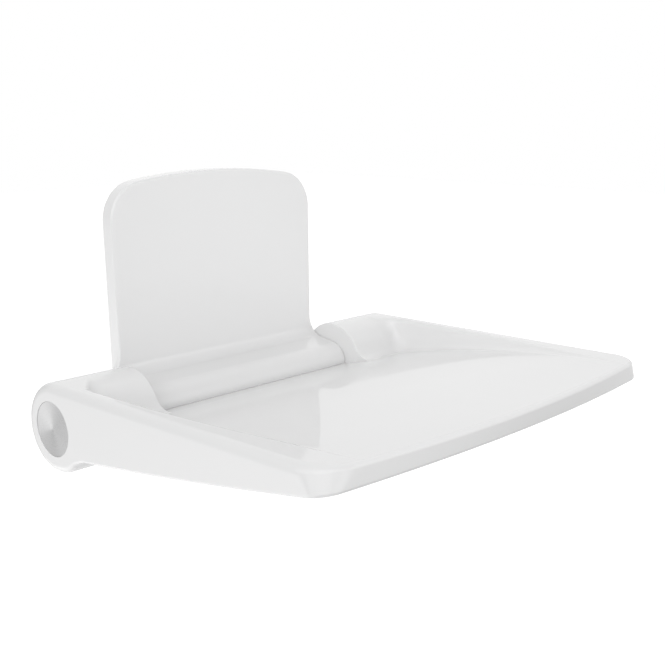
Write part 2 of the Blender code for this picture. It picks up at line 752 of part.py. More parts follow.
def make_caps():
    face = seat_half - CAP_SET_BACK
    back = face - CAP_THICKNESS
    inside = CAP_SKIRT_RADIUS - CAP_SKIRT_WALL
    ring_radius = (pocket_radius - CAP_SKIRT_RADIUS) / 2
    for word, side in SIDES:
        profile = [
            (face, 0), (face, CAP_RADIUS - CAP_EDGE_CHAMFER), (face - CAP_EDGE_CHAMFER, CAP_RADIUS), (back, CAP_RADIUS),
            (back, CAP_SKIRT_RADIUS), (back - CAP_SKIRT_LENGTH, CAP_SKIRT_RADIUS),
            (back - CAP_SKIRT_LENGTH, inside), (back, inside), (back, 0),
        ]
        cap = turned(f"end_cap_{word}", [(side * at, radius) for at, radius in profile])
        shown(cap, TURNED_STEEL, seat_pivot)
        middle = (back - CAP_SKIRT_LENGTH / 2, (pocket_radius + CAP_SKIRT_RADIUS) / 2)
        circle = arc(middle, ring_radius - FIT_GAP, 0, math.tau, RING_SECTION_STEPS)[:-1]
        seal = turned(f"cap_o_ring_{word}", [(side * at, radius) for at, radius in circle], HIDDEN_STEPS)
        shown(seal, RUBBER, seat_pivot)


def plate_outline(inset=0.0):
    """The upright plate from the front, (x, z): arched top, round corners."""
    half = plate_half - inset
    radius = PLATE_CORNER_RADIUS - inset
    arch = PLATE_ARCH_RADIUS - inset
    arch_centre = (0, PLATE_TOP - PLATE_ARCH_RADIUS)
    corner_x = half - radius
    corner_z = arch_centre[1] + math.sqrt((arch - radius) ** 2 - corner_x**2)
    lean = angle_of((corner_x, corner_z), arch_centre)
    corner = arc((corner_x, corner_z), radius, 0, lean, FILLET_STEPS + 2)
    top = arc(arch_centre, arch, lean, math.pi - lean, 12)
    other = [(-x, z) for x, z in reversed(corner)]
    low = -(PLATE_BOTTOM - inset)
    foot = PLATE_BOTTOM_CORNER_RADIUS - min(inset, PLATE_BOTTOM_CORNER_RADIUS / 2)
    left = arc((foot - half, low + foot), foot, math.pi, 1.5 * math.pi, FILLET_STEPS)
    right = arc((half - foot, low + foot), foot, 1.5 * math.pi, math.tau, FILLET_STEPS)
    return corner + top[1:-1] + other + left + right


def soften_where(obj, radius, chosen):
    """Bevels the sharp edges whose middle the rule picks."""
    work = bmesh.new()
    work.from_mesh(obj.data)
    weights = work.edges.layers.float.new("bevel_weight_edge")
    for edge in work.edges:
        middle = (edge.verts[0].co + edge.verts[1].co) / 2
        if edge.calc_face_angle(0) > math.radians(30) and chosen(middle):
            edge[weights] = 1
    work.to_mesh(obj.data)
    work.free()
    soft = obj.modifiers.new("soft edges", "BEVEL")
    soft.limit_method = "WEIGHT"
    soft.width = radius
    soft.segments = EDGE_STEPS
    return settled(obj)


def knuckle_outline():
    """The knuckle from the side, (y, z) round the hinge axis: a nose that runs out into a sloping shelf."""
    slope = KNUCKLE_SHELF_SLOPE
    leave = math.pi / 2 + slope
    nose = arc((0, 0), KNUCKLE_RADIUS, leave, 1.5 * math.pi, ROUND_STEPS * 3 // 8)
    back = HINGE_TO_WALL + cover_back
    return nose + [(back, -KNUCKLE_RADIUS), (back, shelf_height(back))]


def shelf_height(y):
    slope = KNUCKLE_SHELF_SLOPE
    start = (-KNUCKLE_RADIUS * math.sin(slope), KNUCKLE_RADIUS * math.cos(slope))
    return start[1] + (y - start[0]) * math.tan(slope)


def cove_outline():
    """The hollow curve that carries the shelf up into the plate, (y, z) round the hinge axis."""
    face = HINGE_TO_WALL - PLATE_THICKNESS
    slope = KNUCKLE_SHELF_SLOPE
    half = (math.pi / 2 + slope) / 2
    reach = COVE_RADIUS * math.tan(math.pi / 2 - half)
    corner = (face, shelf_height(face))
    centre = (face - COVE_RADIUS, corner[1] + reach)
    curve = arc(centre, COVE_RADIUS, 0, slope - math.pi / 2, FILLET_STEPS)
    sunk = COVER_WALL / 2
    foot = (curve[-1][0], curve[-1][1] - sunk)
    return curve + [foot, (face + sunk, corner[1] - sunk), (face + sunk, centre[1])]


def lug_span(side):
    return sorted((side * LUG_START_X, side * (plate_half - LUG_TO_PLATE_SIDE)))


def pad_bottom():
    return -(trough_radius + STOP_PAD_DROP + STOP_PAD_HEIGHT)


def make_wall_cover():
    plate = prism("wall_cover", plate_outline(), plate_front, cover_back, "Y")
    plate = soften_where(plate, PLATE_EDGE_RADIUS, lambda middle: middle.y < plate_front + 1e-4)
    knuckle = prism("knuckle_tool", knuckle_outline(), -knuckle_half, knuckle_half)
    end = knuckle_half - 1e-4
    knuckle = soften_where(knuckle, KNUCKLE_END_RADIUS, lambda m: abs(m.x) > end and m.y < HINGE_TO_WALL / 2)
    moved(knuckle, 0, axis_y, 0)
    cove_half = plate_half - PLATE_EDGE_RADIUS
    cove = moved(prism("cove_tool", cove_outline(), -cove_half, cove_half), 0, axis_y, 0)
    cover = merged(plate, "UNION", knuckle, cove)

    hollow = prism("plate_hollow_tool", plate_outline(COVER_WALL), plate_front + COVER_WALL, BIG, "Y")
    tube_room = TUBE_RADIUS + FIT_GAP
    bore = moved(through_tool("tube_room_tool", tube_room), 0, axis_y, 0)
    inner = knuckle_half - COVER_WALL
    slot = tube_room - SLOT_UNDER_BORE
    web_room = block("web_room_tool", (-inner, axis_y, -slot), (inner, BIG, slot))
    tools = [hollow, bore, web_room]
    for word, side in SIDES:
        low, high = lug_span(side)
        tools.append(
            block(
                f"pad_window_tool_{word}",
                (low - FIT_GAP, plate_front - OVERRUN, pad_bottom() - FIT_GAP),
                (high + FIT_GAP, lug_front, pad_bottom() + STOP_PAD_HEIGHT + FIT_GAP),
            )
        )
        tools.append(cover_screw_hole(f"cover_hole_tool_{word}", side, COVER_WALL + SCREW_TIP_ROOM))
    cut(cover, *tools)
    return shown(cover, WHITE)


def cover_screw_hole(name, side, length):
    head = COVER_SCREW_HEAD_RADIUS + FIT_GAP
    shank = COVER_SCREW_RADIUS + FIT_GAP
    seat = COVER_SCREW_HEAD_HEIGHT + FIT_GAP
    profile = [(-OVERRUN, 0), (-OVERRUN, head), (seat, head), (seat, shank), (length, shank), (length, 0)]
    return moved(turned(name, profile, SCREW_STEPS, "Z"), *cover_screw_place(side))


def cover_screw_place(side):
    return sum(lug_span(side)) / 2, -COVER_SCREW_TO_WALL, -PLATE_BOTTOM


def bracket_outline():
    inset = COVER_WALL + BRACKET_EDGE_GAP
    return plate_outline(inset)


def make_wall_bracket(tube_end):
    bracket = prism("wall_bracket", bracket_outline(), -BRACKET_THICKNESS, 0, "Y")
    tube = ring("tube", -tube_end, tube_end, 0, TUBE_RADIUS, 1)
    web_half = plate_half - COVER_WALL - BRACKET_EDGE_GAP - WEB_END_GAP
    web = block("web", (-web_half, axis_y, -WEB_HALF_HEIGHT), (web_half, -BRACKET_THICKNESS / 2, WEB_HALF_HEIGHT))
    lugs = []
    lug_low = -(PLATE_BOTTOM - COVER_WALL - FIT_GAP)
    lug_high = pad_bottom() + STOP_PAD_HEIGHT
    for _, side in SIDES:
        low, high = lug_span(side)
        lugs.append(block("lug", (low, lug_front, lug_low), (high, -BRACKET_THICKNESS / 2, lug_high)))
    bracket = merged(bracket, "UNION", moved(tube, 0, axis_y, 0), web, *lugs)

    tools = []
    for x in (-WALL_HOLE_X, WALL_HOLE_X):
        for height in WALL_HOLE_HEIGHTS:
            tools.append(moved(through_tool("wall_hole_tool", WALL_HOLE_RADIUS, "Y"), x, 0, height))
    for word, side in SIDES:
        radius = GRUB_SCREW_RADIUS + FIT_GAP
        profile = [(axis_y, 0), (axis_y, radius), (OVERRUN, radius), (OVERRUN, 0)]
        tools.append(moved(turned("grub_hole_tool", profile, SCREW_STEPS, "Y"), side * GRUB_SCREW_X))
        deep = COVER_SCREW_LENGTH + COVER_SCREW_HEAD_HEIGHT + SCREW_TIP_ROOM
        tools.append(cover_screw_hole(f"lug_hole_tool_{word}", side, deep))
    tools.append(moved(through_tool("axle_bore_tool", bore_radius), 0, axis_y, 0))
    cut(bracket, *tools)
    return shown(bracket, ALUMINIUM)


def make_cover_seal():
    outline = plate_outline(SEAL_INSET)
    inner = plate_outline(COVER_WALL)
    seal = prism("cover_seal", outline, -SEAL_THICKNESS, 0, "Y")
    seal = merged(seal, "DIFFERENCE", prism("seal_tool", inner, -BIG, BIG, "Y"))
    shown(seal, WHITE_RUBBER)


def make_stop_pads():
    back = lug_front - FIT_GAP
    front = axis_y + HEEL_TO_AXIS + FIT_GAP
    for word, side in SIDES:
        low, high = lug_span(side)
        top = pad_bottom() + STOP_PAD_HEIGHT
        pad = block(f"stop_pad_{word}", (low, front, pad_bottom()), (high, back, top))
        pad = soften_where(pad, STOP_PAD_EDGE_RADIUS, lambda middle: middle.y < front + 1e-4)
        shown(pad, RUBBER)


def make_cover_screws():
    for word, side in SIDES:
        screw = screw_solid(
            f"cover_screw_{word}", COVER_SCREW_RADIUS, COVER_SCREW_LENGTH,
            COVER_SCREW_HEAD_RADIUS, COVER_SCREW_HEAD_HEIGHT,
        )
        shown(moved(screw, *cover_screw_place(side)), PLAIN_STEEL)


def make_grub_screws():
    tip = axis_y + bore_radius
    socket = GRUB_SCREW_RADIUS * SOCKET_RADIUS_SHARE
    end = tip + GRUB_SCREW_LENGTH
    floor = end - GRUB_SOCKET_DEPTH
    profile = [
        (tip, 0), (tip, GRUB_SCREW_RADIUS * GRUB_TIP_SHARE), (tip + GRUB_SCREW_POINT, GRUB_SCREW_RADIUS),
        (end, GRUB_SCREW_RADIUS), (end, socket), (floor, socket), (floor, 0),
    ]
    for word, side in SIDES:
        screw = turned(f"axle_grub_screw_{word}", profile, SCREW_STEPS, "Y")
        shown(moved(screw, side * GRUB_SCREW_X), PLAIN_STEEL)


clear_scene()
parts = new_collection("fold_up_shower_seat")
cutters = new_collection("cutters")
seat_pivot = bpy.data.objects.new("seat_pivot", None)
seat_pivot.location = (0, axis_y, 0)
parts.objects.link(seat_pivot)

make_seat_shell()
make_seat_base()
make_base_screws()
make_bushes()
make_caps()
make_axle()
tube_end = make_axle_hardware()
make_wall_bracket(tube_end)
make_wall_cover()
make_cover_seal()
make_stop_pads()
make_cover_screws()
make_grub_screws()
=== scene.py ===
import json
import math

import bpy
from mathutils import Matrix, Vector


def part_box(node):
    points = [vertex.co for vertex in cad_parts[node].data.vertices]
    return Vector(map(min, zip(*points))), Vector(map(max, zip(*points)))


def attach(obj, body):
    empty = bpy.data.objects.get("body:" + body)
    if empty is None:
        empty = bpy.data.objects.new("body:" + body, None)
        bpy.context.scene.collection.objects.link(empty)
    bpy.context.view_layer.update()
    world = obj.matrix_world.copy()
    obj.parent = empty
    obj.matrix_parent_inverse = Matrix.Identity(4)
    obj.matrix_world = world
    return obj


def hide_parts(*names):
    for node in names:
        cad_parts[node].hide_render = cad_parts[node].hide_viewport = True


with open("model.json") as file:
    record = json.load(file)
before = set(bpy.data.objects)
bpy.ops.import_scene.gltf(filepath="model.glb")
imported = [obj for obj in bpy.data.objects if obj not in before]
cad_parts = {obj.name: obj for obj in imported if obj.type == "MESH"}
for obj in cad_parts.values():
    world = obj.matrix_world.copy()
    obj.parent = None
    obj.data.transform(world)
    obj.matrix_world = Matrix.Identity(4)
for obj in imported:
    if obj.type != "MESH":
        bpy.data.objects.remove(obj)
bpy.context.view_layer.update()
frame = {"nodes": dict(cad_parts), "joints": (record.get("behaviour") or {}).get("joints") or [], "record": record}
nodes = frame["nodes"]
scene = bpy.context.scene
print("frame loaded:", len(nodes), "nodes")

mm = 0.001
# seat and knuckle are shaped round the hinge axis, then moved here
hingePoint = Vector(frame["joints"][0]["pos_m"])
sides = {"left": -1, "right": 1}
farOut = 60 * mm         # how far cutters run past what they cut
nearBy = 0.1 * mm        # points this close to a plane or a radius count as on it
weldGap = 0.002 * mm     # vertices this close are one


# Picking, and the operators that every piece goes through

def deselectAll():
    if bpy.context.mode != "OBJECT":
        bpy.ops.object.mode_set(mode="OBJECT")
    bpy.ops.object.select_all(action="DESELECT")


def pickOnly(piece):
    deselectAll()
    piece.select_set(True)
    bpy.context.view_layer.objects.active = piece


def editAll(piece):
    pickOnly(piece)
    bpy.ops.object.mode_set(mode="EDIT")
    bpy.ops.mesh.select_all(action="SELECT")


def closeEdit(piece):
    bpy.ops.mesh.select_all(action="SELECT")
    bpy.ops.mesh.normals_make_consistent(inside=False)
    bpy.ops.object.mode_set(mode="OBJECT")
    return piece


def newPiece(name, vertices, fill="NGON"):
    deselectAll()
    bpy.ops.mesh.primitive_circle_add(vertices=vertices, radius=1, fill_type=fill)
    piece = bpy.context.active_object
    piece.name = piece.data.name = name
    return piece


def applyModifier(piece, kind, **settings):
    modifier = piece.modifiers.new(kind.lower(), kind)
    for key, value in settings.items():
        setattr(modifier, key, value)
    pickOnly(piece)
    bpy.ops.object.modifier_apply(modifier=modifier.name)
    return piece


def combine(piece, other, operation="DIFFERENCE"):
    applyModifier(piece, "BOOLEAN", operation=operation, object=other, solver="MANIFOLD")
    bpy.data.objects.remove(other, do_unlink=True)
    return piece


def moveMesh(piece, offset):
    piece.data.transform(Matrix.Translation(offset))
    return piece


def mergeClose(piece, distance=weldGap):
    editAll(piece)
    bpy.ops.mesh.remove_doubles(threshold=distance)
    return closeEdit(piece)


def roundEdges(piece, segments, radiusOf, sharpFrom=30):
    # edges that turn more than sharpFrom degrees; radiusOf(middle of an edge) gives the rounding, or 0
    mesh = piece.data
    faceNormals = {}
    for face in mesh.polygons:
        for key in face.edge_keys:
            faceNormals.setdefault(key, []).append(face.normal)
    wanted = {}
    for edge in mesh.edges:
        normals = faceNormals.get(edge.key, [])
        if len(normals) == 2 and normals[0].angle(normals[1], 0) > math.radians(sharpFrom):
            start, end = (mesh.vertices[index].co for index in edge.vertices)
            wanted[edge.index] = radiusOf((start + end) / 2)
    widest = max(wanted.values())
    weights = mesh.attributes.get("bevel_weight_edge")
    if not weights:
        weights = mesh.attributes.new("bevel_weight_edge", "FLOAT", "EDGE")
    for edge in mesh.edges:
        weights.data[edge.index].value = wanted.get(edge.index, 0) / widest
    applyModifier(
        piece, "BEVEL", limit_method="WEIGHT", width=widest, segments=segments,
        use_clamp_overlap=False, loop_slide=False,
    )
    leftover = piece.data.attributes.get("bevel_weight_edge")
    if leftover:
        piece.data.attributes.remove(leftover)
    return piece


def smoothFinish(piece, angle=32):
    pickOnly(piece)
    bpy.ops.object.shade_smooth_by_angle(angle=math.radians(angle))
    return applyModifier(piece, "WEIGHTED_NORMAL", mode="FACE_AREA", weight=50, keep_sharp=True)


def settle(piece, body, slot, material, *replaced):
    piece.data.materials.clear()
    piece.data.materials.append(material)
    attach(piece, body)
    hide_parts(*replaced)
    return piece


# Outlines: arcs and stations that the pieces share

def arcPoints(centre, radius, start, end, steps):
    angles = [start + (end - start) * i / steps for i in range(steps + 1)]
    return [(centre[0] + radius * math.cos(a), centre[1] + radius * math.sin(a)) for a in angles]


def angleFrom(centre, point):
    return math.atan2(point[1] - centre[1], point[0] - centre[0])


def circlesMeet(centreA, radiusA, centreB, radiusB, side):
    a, b = Vector(centreA), Vector(centreB)
    gap = (b - a).length
    along = (radiusA ** 2 - radiusB ** 2 + gap ** 2) / (2 * gap)
    up = math.sqrt(radiusA ** 2 - along ** 2)
    forward = (b - a) / gap
    return tuple(a + forward * along + Vector((-forward.y, forward.x)) * up * side)


def stations(start, end, steps):
    return [start + (end - start) * i / steps for i in range(steps + 1)]


def outlineSolid(name, points, low, high, across="X"):
    # points are (y, z) across X, (x, z) across Y and (x, y) across Z
    axis = "XYZ".index(across)
    piece = newPiece(name, len(points))
    for vertex, (u, v) in zip(piece.data.vertices, points):
        place = [u, v]
        place.insert(axis, low)
        vertex.co = place
    travel = [0, 0, 0]
    travel[axis] = high - low
    editAll(piece)
    bpy.ops.mesh.extrude_region_move(TRANSFORM_OT_translate={"value": travel})
    return closeEdit(piece)


def turnedSolid(name, profile, steps, along="X", flip=1):
    # profile is (distance along the axis, radius), closed; points on the axis close up
    piece = newPiece(name, len(profile), fill="NOTHING")
    for vertex, (place, radius) in zip(piece.data.vertices, profile):
        vertex.co = (flip * place, 0, radius)
    editAll(piece)
    bpy.ops.mesh.spin(steps=steps, angle=math.tau, center=(0, 0, 0), axis=(1, 0, 0))
    bpy.ops.mesh.select_all(action="SELECT")
    bpy.ops.mesh.remove_doubles(threshold=weldGap)
    bpy.ops.mesh.delete_loose()
    closeEdit(piece)
    if along == "Z":
        piece.data.transform(Matrix.Rotation(-math.pi / 2, 4, "Y"))
    return piece


def throughHole(name, radius):
    reach = 4 * farOut
    return turnedSolid(name, [(-reach, 0), (-reach, radius), (reach, radius), (reach, 0)], 64)


# Seat form, from the frame's own box and the moulding's radii

shellLow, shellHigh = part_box("seat_shell")
capLow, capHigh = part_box("end_cap_right")
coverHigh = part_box("wall_cover")[1]

lipSetBack = 2.4 * mm    # the rounded lip stands this far behind the solid's front

seatForm = {
    "half": shellHigh.x,
    "reach": hingePoint.y - shellLow.y - lipSetBack,
    "rim": shellHigh.z,
    "frontBow": 13.5 * mm,
    "cornerRadius": 14 * mm,             # up to where the corners start to lean in
    "cornerTop": 28 * mm,                # at the rim
    "cornerDrop": 4.5 * mm,              # how far below the front edge the lean starts
    "frontEdge": 12.4 * mm,
    "skirtStart": 42 * mm,
    "skirtStartDepth": 14.5 * mm,
    "underBulge": 1.5 * mm,
    "underFillet": 22 * mm,
    "sideRounding": 6.5 * mm,
    "frontRounding": 3 * mm,
    "bottomRounding": 2 * mm,
    "dishHalf": 146 * mm,
    "dishDraft": math.radians(8),
    "sideFillet": 14 * mm,
    "rearFillet": 16 * mm,
    "rearDepth": 30.8 * mm,
    "runOut": 4 * mm,
    "rimRounding": 5 * mm,
    "rimRoundingRear": 9 * mm,           # softer where the rim runs into the barrel
    "barrelEndRounding": 0.8 * mm,
    "notchHalf": 98.4 * mm,
    "troughRadius": 15.9 * mm,
    "troughAhead": 4 * mm,               # the knuckle's room starts this far ahead of the rear fillet
    "heel": 17 * mm,
    "baseInset": 4 * mm,
    "baseRear": 47 * mm,
    "baseSetBack": 0.5 * mm,
    "baseThickness": 3.5 * mm,
    "baseEdge": 0.5 * mm,
    "fitGap": 0.3 * mm,
    "pocketDepth": 19 * mm,
    "boreRadius": 10.3 * mm,
    "flangeRadius": 13.3 * mm,
    "flangeDepth": 2.1 * mm,
    "pocketMouth": 0.15 * mm,
    "capGap": 0.05 * mm,
}
barrelRadius = seatForm["rim"]


def floorArc():
    form = seatForm
    run = form["reach"] + form["runOut"] - form["troughRadius"]
    radius = (run ** 2 + form["rearDepth"] ** 2) / (2 * form["rearDepth"])
    return (-(form["reach"] + form["runOut"]), form["rim"] - radius), radius


def floorHeight(y):
    (centreY, centreZ), radius = floorArc()
    return centreZ + math.sqrt(radius ** 2 - (y - centreY) ** 2)


def underArc():
    form = seatForm
    rear = Vector((-form["skirtStart"], -form["skirtStartDepth"]))
    front = Vector((-form["reach"], form["rim"] - form["frontEdge"]))
    chord = front - rear
    bulge = form["underBulge"]
    radius = ((chord.length / 2) ** 2 + bulge ** 2) / (2 * bulge)
    up = Vector((chord.y, -chord.x)).normalized()
    return tuple((rear + front) / 2 + up * (radius - bulge)), radius


def underHeight(y, lift=0):
    (centreY, centreZ), radius = underArc()
    return centreZ - math.sqrt((radius - lift) ** 2 - (y - centreY) ** 2)


def planOutline(inset=0, cornerRadius=seatForm["cornerRadius"]):
    form = seatForm
    half, reach, radius = form["half"] - inset, form["reach"] - inset, cornerRadius - inset
    slope = 0
    for _ in range(20):      # settles where the corner leaves the bowed front
        touchX = half - radius + radius * math.sin(slope)
        slope = math.atan(2 * form["frontBow"] * touchX / form["half"] ** 2)
    touchY = -reach + form["frontBow"] * (touchX / form["half"]) ** 2
    corner = arcPoints((half - radius, touchY + radius * math.cos(slope)), radius, 0, slope - math.pi / 2, 24)
    across = stations(touchX, -touchX, 72)[1:-1]
    bow = [(x, -reach + form["frontBow"] * (x / form["half"]) ** 2) for x in across]
    return [(half, farOut)] + corner + bow + [(-x, y) for x, y in reversed(corner)] + [(-half, farOut)]


def planTool():
    # straight up to just below the front edge, then leaning in at the corners up to the rim
    form = seatForm
    foot = form["rim"] - form["frontEdge"] - form["cornerDrop"]
    top = form["rim"] + 0.5 * mm
    outline, upper = planOutline(), planOutline(0, form["cornerTop"])
    tool = outlineSolid("planTool", outline, -2 * farOut, foot, "Z")
    bpy.ops.object.mode_set(mode="EDIT")
    bpy.ops.mesh.select_all(action="DESELECT")
    bpy.ops.object.mode_set(mode="OBJECT")
    for face in tool.data.polygons:
        face.select = face.center.z > foot - nearBy
    bpy.ops.object.mode_set(mode="EDIT")
    bpy.ops.mesh.extrude_region_move(TRANSFORM_OT_translate={"value": (0, 0, top - foot)})
    closeEdit(tool)
    for vertex in tool.data.vertices:
        if vertex.co.z > foot + nearBy:
            spot = min(range(len(outline)), key=lambda i: (vertex.co.xy - Vector(outline[i])).length)
            vertex.co.xy = upper[spot]
    return tool


def sideOutline():
    form = seatForm
    underCentre, underRadius = underArc()
    filletCentre = circlesMeet(
        (0, 0), barrelRadius + form["underFillet"], underCentre, underRadius + form["underFillet"], 1,
    )
    onBarrel = angleFrom((0, 0), filletCentre)
    onUnder = angleFrom(filletCentre, underCentre)
    startY = filletCentre[0] + form["underFillet"] * math.cos(onUnder)
    front = -(form["reach"] + farOut / 2)
    # straight ahead of the corners, so that no facet ends just beside one of theirs
    cornerY = planOutline()[1][1]
    drop = (underHeight(-form["reach"]) - underHeight(cornerY)) / (-form["reach"] - cornerY)
    under = [(front, underHeight(cornerY) + (front - cornerY) * drop)]
    under += [(y, underHeight(y)) for y in stations(cornerY, startY, 48)]
    fillet = arcPoints(filletCentre, form["underFillet"], onUnder, onBarrel + math.pi, 20)
    barrel = arcPoints((0, 0), barrelRadius, onBarrel, math.pi / 2, 90)
    return [(front, form["rim"])] + under + fillet[1:] + barrel[1:]


def seatRounding(middle):
    form = seatForm
    if middle.z > form["rim"] - nearBy:
        cornerStart = form["reach"] - form["cornerTop"] - form["frontBow"]
        share = min(1, max(0, (-middle.y - cornerStart) / form["cornerTop"]))
        return form["sideRounding"] + (form["frontRounding"] - form["sideRounding"]) * share
    underStart, underEnd = 0.1 * barrelRadius, 0.9 * barrelRadius
    share = min(1, max(0, (-middle.y - underStart) / (underEnd - underStart)))
    return form["sideRounding"] + (form["bottomRounding"] - form["sideRounding"]) * share


def dishSection(y, depth):
    # x and height above the floor, from the middle outwards: floor, fillet, leaning wall, rounded rim
    form = seatForm
    rear = min(1, max(0, 1 + (y + barrelRadius / 2) / barrelRadius))
    low = form["sideFillet"]
    high = form["rimRounding"] + (form["rimRoundingRear"] - form["rimRounding"]) * rear ** 2
    lean = math.pi / 2 - form["dishDraft"]
    foot = form["dishHalf"] - low * math.tan(lean / 2)
    turn = min(lean, math.acos(max(0, 1 - depth / (low + high))))
    points = [(foot + low * math.sin(t), low * (1 - math.cos(t))) for t in stations(0, turn, 14)]
    wallTop = depth - high * (1 - math.cos(turn))
    wallX = points[-1][0] + (wallTop - points[-1][1]) / math.tan(turn)
    wallXs, wallZs = stations(points[-1][0], wallX, 4), stations(points[-1][1], wallTop, 4)
    points += list(zip(wallXs, wallZs))[1:]
    last = min(math.radians(3), turn / 2)        # runs out nearly level, so that the rim shows no crease
    for t in stations(turn, last, 12)[1:]:
        x = wallX + high * (math.sin(turn) - math.sin(t))
        points.append((x, wallTop + high * (math.cos(t) - math.cos(turn))))
    above = 0.3 * mm         # then on past the rim, so that the cut goes through
    x, z = points[-1]
    points.append((x + (depth + above - z) / math.tan(last), depth + above))
    return points


def dishPath():
    form = seatForm
    centre, radius = floorArc()
    filletCentre = circlesMeet(
        (0, 0), barrelRadius + form["rearFillet"], centre, radius + form["rearFillet"], -1,
    )
    onBarrel = angleFrom((0, 0), filletCentre)
    onFloor = angleFrom(filletCentre, centre)
    endY = filletCentre[0] + form["rearFillet"] * math.cos(onFloor)
    path = [(y, floorHeight(y)) for y in stations(centre[0] - form["runOut"], endY, 110)]
    path += arcPoints(filletCentre, form["rearFillet"], onFloor, onBarrel - math.pi, 20)[1:]
    leave = math.radians(97)         # just short of the barrel's top, where the cut lifts off
    path += arcPoints((0, 0), barrelRadius, onBarrel, leave, 24)[1:]
    path.append((path[-1][0] + farOut * math.sin(leave), path[-1][1] - farOut * math.cos(leave)))
    return path


def dishTool():
    least = 0.03 * mm        # the section keeps this depth where the dish has run out
    path = dishPath()
    rows = []
    for y, base in path:
        half = dishSection(y, max(least, seatForm["rim"] - base))
        rows.append([(-x, y, base + z) for x, z in reversed(half)] + [(x, y, base + z) for x, z in half])
    across = len(rows[0])
    deselectAll()
    bpy.ops.mesh.primitive_grid_add(x_subdivisions=across - 1, y_subdivisions=len(rows) - 1, size=1)
    tool = bpy.context.active_object
    tool.name = "dishTool"
    for index, vertex in enumerate(tool.data.vertices):
        vertex.co = rows[index // across][index % across]
    editAll(tool)
    bpy.ops.mesh.region_to_loop()
    bpy.ops.mesh.extrude_edges_move(TRANSFORM_OT_translate={"value": (0, 0, farOut)})
    bpy.ops.object.mode_set(mode="OBJECT")
    for vertex in tool.data.vertices:
        if vertex.select:
            vertex.co.z = 3 * farOut
    bpy.ops.object.mode_set(mode="EDIT")
    bpy.ops.mesh.edge_face_add()
    return closeEdit(tool)


def knuckleRoomTool():
    form = seatForm
    radius = form["troughRadius"]
    lift = 0.02 * mm         # keeps the cut off the dish floor that it runs along
    lip = math.pi + math.asin((form["rearDepth"] - form["rim"]) / radius)
    trough = arcPoints((0, 0), radius, lip, 1.5 * math.pi, 30)
    ahead = -(barrelRadius + form["rearFillet"] + form["troughAhead"])
    floor = [(y, floorHeight(y) + lift) for y in stations(ahead, trough[0][0], 16)[:-1]]
    heel = form["heel"]
    outline = floor + trough + [(heel, -radius), (heel, -farOut)]
    outline += [(farOut, -farOut), (farOut, farOut), (ahead, farOut)]
    return outlineSolid("knuckleRoomTool", outline, -form["notchHalf"], form["notchHalf"])


def barrelTool(side):
    form = seatForm
    half = form["half"]
    notch, mouth = form["notchHalf"], form["pocketMouth"]
    pocket = (capHigh.z - capLow.z) / 2 + form["capGap"]
    start, end = notch - 4 * mm, half + 1 * mm
    seat = notch + form["flangeDepth"]
    floor = half - form["pocketDepth"]
    profile = [(start, 0), (start, form["flangeRadius"]), (seat, form["flangeRadius"])]
    profile += [(seat, form["boreRadius"]), (floor, form["boreRadius"]), (floor, pocket)]
    profile += arcPoints((half - mouth, pocket + mouth), mouth, -math.pi / 2, 0, 6)
    profile += [(end, pocket + mouth), (end, 0)]
    return turnedSolid("barrelTool", profile, 128, flip=side)


def underBand(name, low, high, rear, inset):
    form = seatForm
    pastFront = 4 * mm
    ys = stations(rear, -(form["reach"] + pastFront), 60)
    lower = [(ys[0], -farOut), (ys[-1], -farOut)]
    if low > 0:
        lower = [(y, underHeight(y, low)) for y in ys]
    upper = [(y, underHeight(y, high)) for y in reversed(ys)]
    band = outlineSolid(name, lower + upper, -form["half"], form["half"])
    plan = outlineSolid("planTool", planOutline(inset), -2 * farOut, 2 * farOut, "Z")
    return combine(band, plan, "INTERSECT")


def barrelEndRounding(middle):
    # the inner end of each barrel, fading out where the barrel runs down into the dish floor
    form = seatForm
    fadeStart, fadeLength = 1 * mm, 6 * mm
    if abs(abs(middle.x) - form["notchHalf"]) > 0.02 * mm:
        return 0
    if math.hypot(middle.y, middle.z) < barrelRadius - nearBy:
        return 0
    height = barrelRadius
    if middle.y < 0 and middle.z > 0:
        height = middle.z - floorHeight(middle.y)
    return form["barrelEndRounding"] * min(1, max(0, (height - fadeStart) / fadeLength))


def makeSeatShell(material):
    form = seatForm
    pastSides = form["half"] + 5 * mm
    shell = outlineSolid("seatShell", sideOutline(), -pastSides, pastSides)
    combine(shell, planTool(), "INTERSECT")
    mergeClose(shell)
    roundEdges(shell, 8, seatRounding)
    print("seat blank:", len(shell.data.polygons), "faces")
    combine(shell, dishTool())
    combine(shell, knuckleRoomTool())
    mergeClose(shell)
    roundEdges(shell, 4, barrelEndRounding)
    for side in sides.values():
        combine(shell, barrelTool(side))
    recessTop = form["baseSetBack"] + form["baseThickness"] + form["fitGap"]
    combine(shell, underBand("recessTool", 0, recessTop, -form["baseRear"], form["baseInset"]))
    mergeClose(shell)
    smoothFinish(shell)
    moveMesh(shell, hingePoint)
    settle(shell, "seat", "white_plastic", material, "seat_shell")
    print("seat shell:", len(shell.data.polygons), "faces")


# Wall cover: the upright plate, the hollow curve below it and the knuckle between the barrels

coverTopDrop = 0.7 * mm      # the arched top stands this far below the solid's

